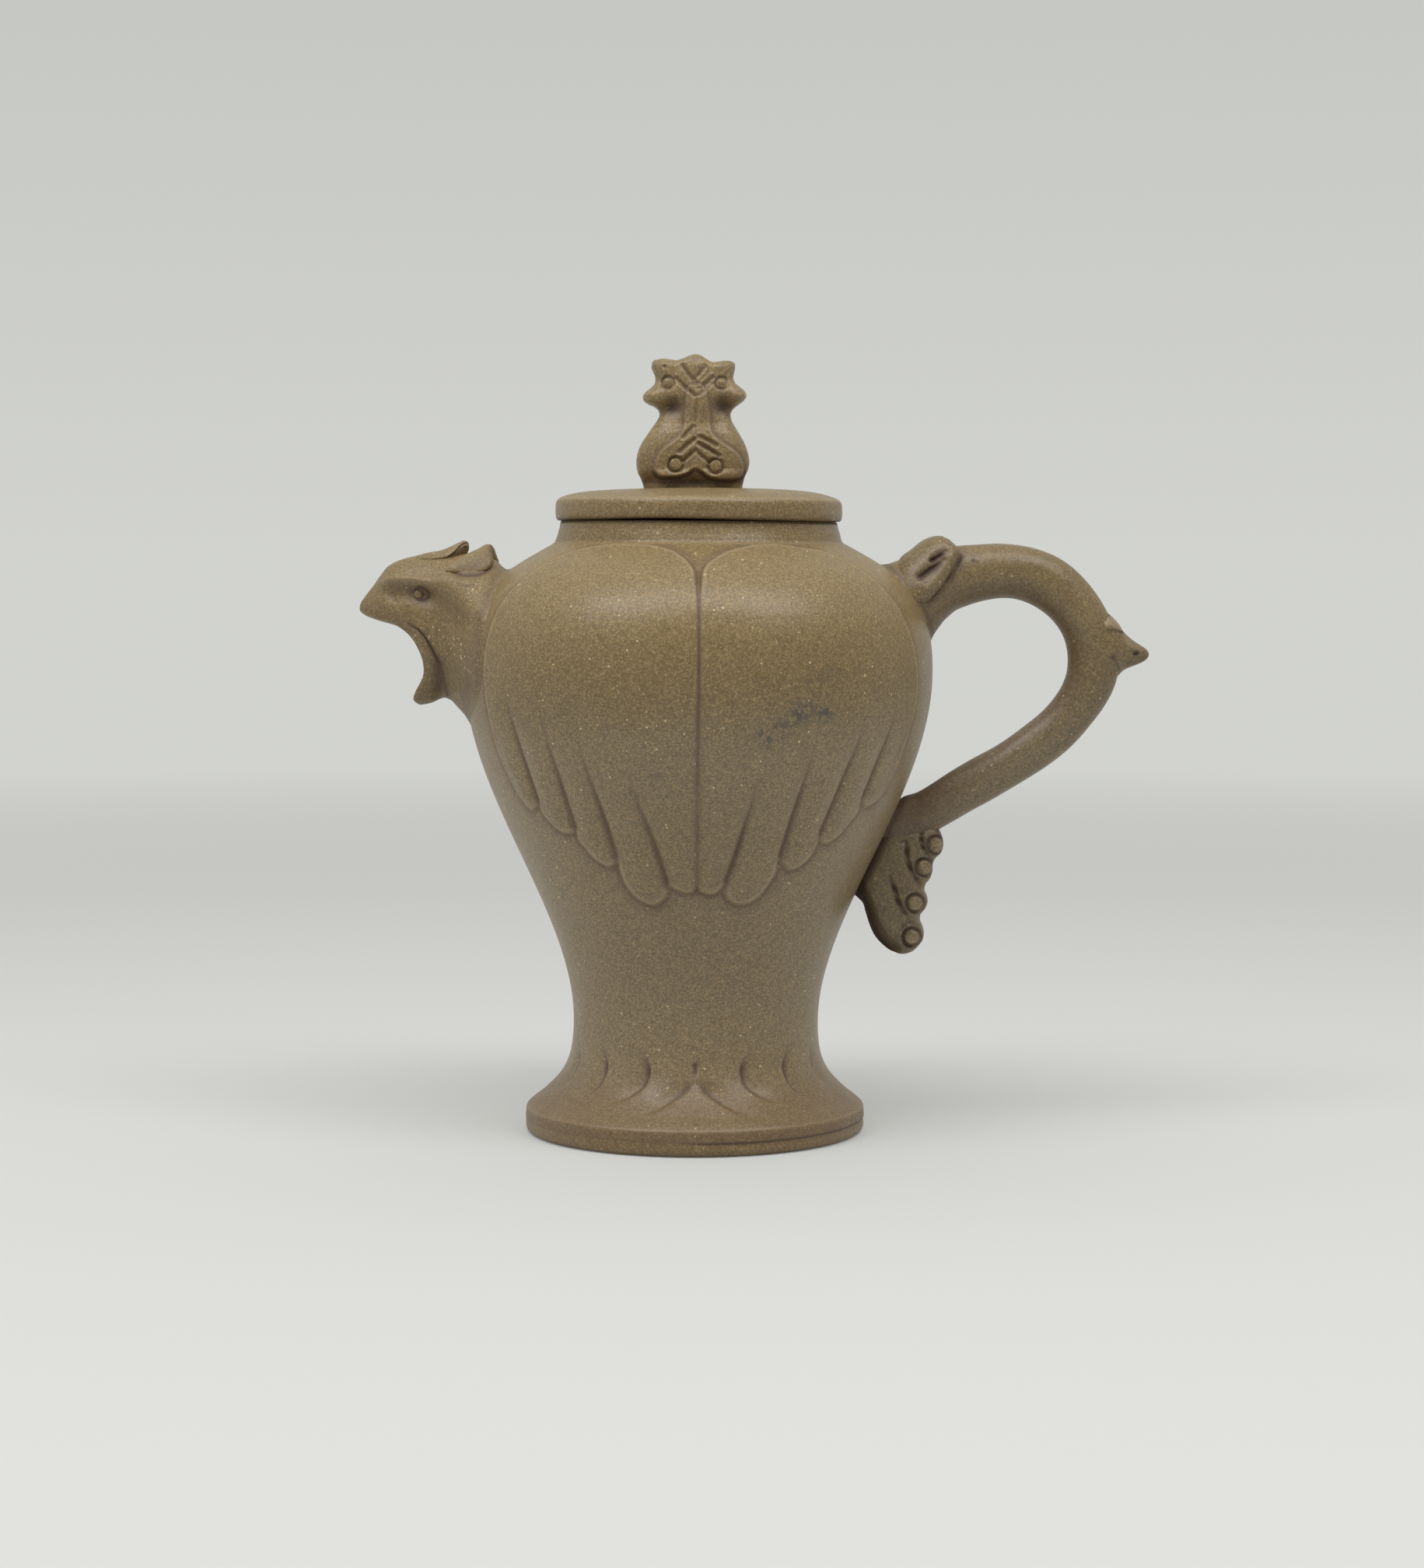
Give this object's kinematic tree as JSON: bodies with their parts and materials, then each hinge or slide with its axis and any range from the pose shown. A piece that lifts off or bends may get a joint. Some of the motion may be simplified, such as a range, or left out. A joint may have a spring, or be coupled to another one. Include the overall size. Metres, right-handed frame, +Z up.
{
  "type": "teapot",
  "caption": "Winged-bird ewer teapot in sandy unglazed stoneware, with a bird-head spout, a looped handle that ends in a scalloped tail, and a lift-off lid with a bird-shaped knob.",
  "frame": {"origin": "centre of the flat underside of the base, on the pot's turning axis", "axes": "+Z up through the knob, -X towards the spout's beak, +X towards the handle, -Y out of the face that the picture shows"},
  "size_m": [0.1676, 0.1008, 0.1648],
  "materials": {
    "pot_clay": "satin",
    "lid_clay": "satin",
    "pellet_clay": "satin"
  },
  "bodies": {
    "pot": {"base_disc": "pot_clay", "foot_skirt": "pot_clay", "waist_wall": "pot_clay", "belly_wall": "pot_clay", "neck_collar": "pot_clay", "spout_head": "pot_clay", "spout_comb": "pot_clay", "handle_loop": "pot_clay", "handle_thorn": "pot_clay", "handle_tail": "pot_clay", "spout_ear_front": "pot_clay", "handle_leaf_front": "pot_clay", "spout_ear_back": "pot_clay", "handle_leaf_back": "pot_clay", "spout_eye_front": "pellet_clay", "tail_stud_front_1": "pellet_clay", "tail_stud_front_2": "pellet_clay", "tail_stud_front_3": "pellet_clay", "tail_stud_front_4": "pellet_clay", "spout_eye_back": "pellet_clay", "tail_stud_back_1": "pellet_clay", "tail_stud_back_2": "pellet_clay", "tail_stud_back_3": "pellet_clay", "tail_stud_back_4": "pellet_clay"},
    "lid": {"lid_plate": "lid_clay", "lid_collar": "lid_clay", "knob": "lid_clay", "knob_eye_front_left": "pellet_clay", "knob_stud_front_left": "pellet_clay", "knob_eye_front_right": "pellet_clay", "knob_stud_front_right": "pellet_clay", "knob_eye_back_left": "pellet_clay", "knob_stud_back_left": "pellet_clay", "knob_eye_back_right": "pellet_clay", "knob_stud_back_right": "pellet_clay"}
  },
  "joints": [
    {"name": "lid_lift", "type": "slide", "parent": "pot", "child": "lid", "axis": [0, 0, 1], "range_m": [0, 0.06]}
  ]
}
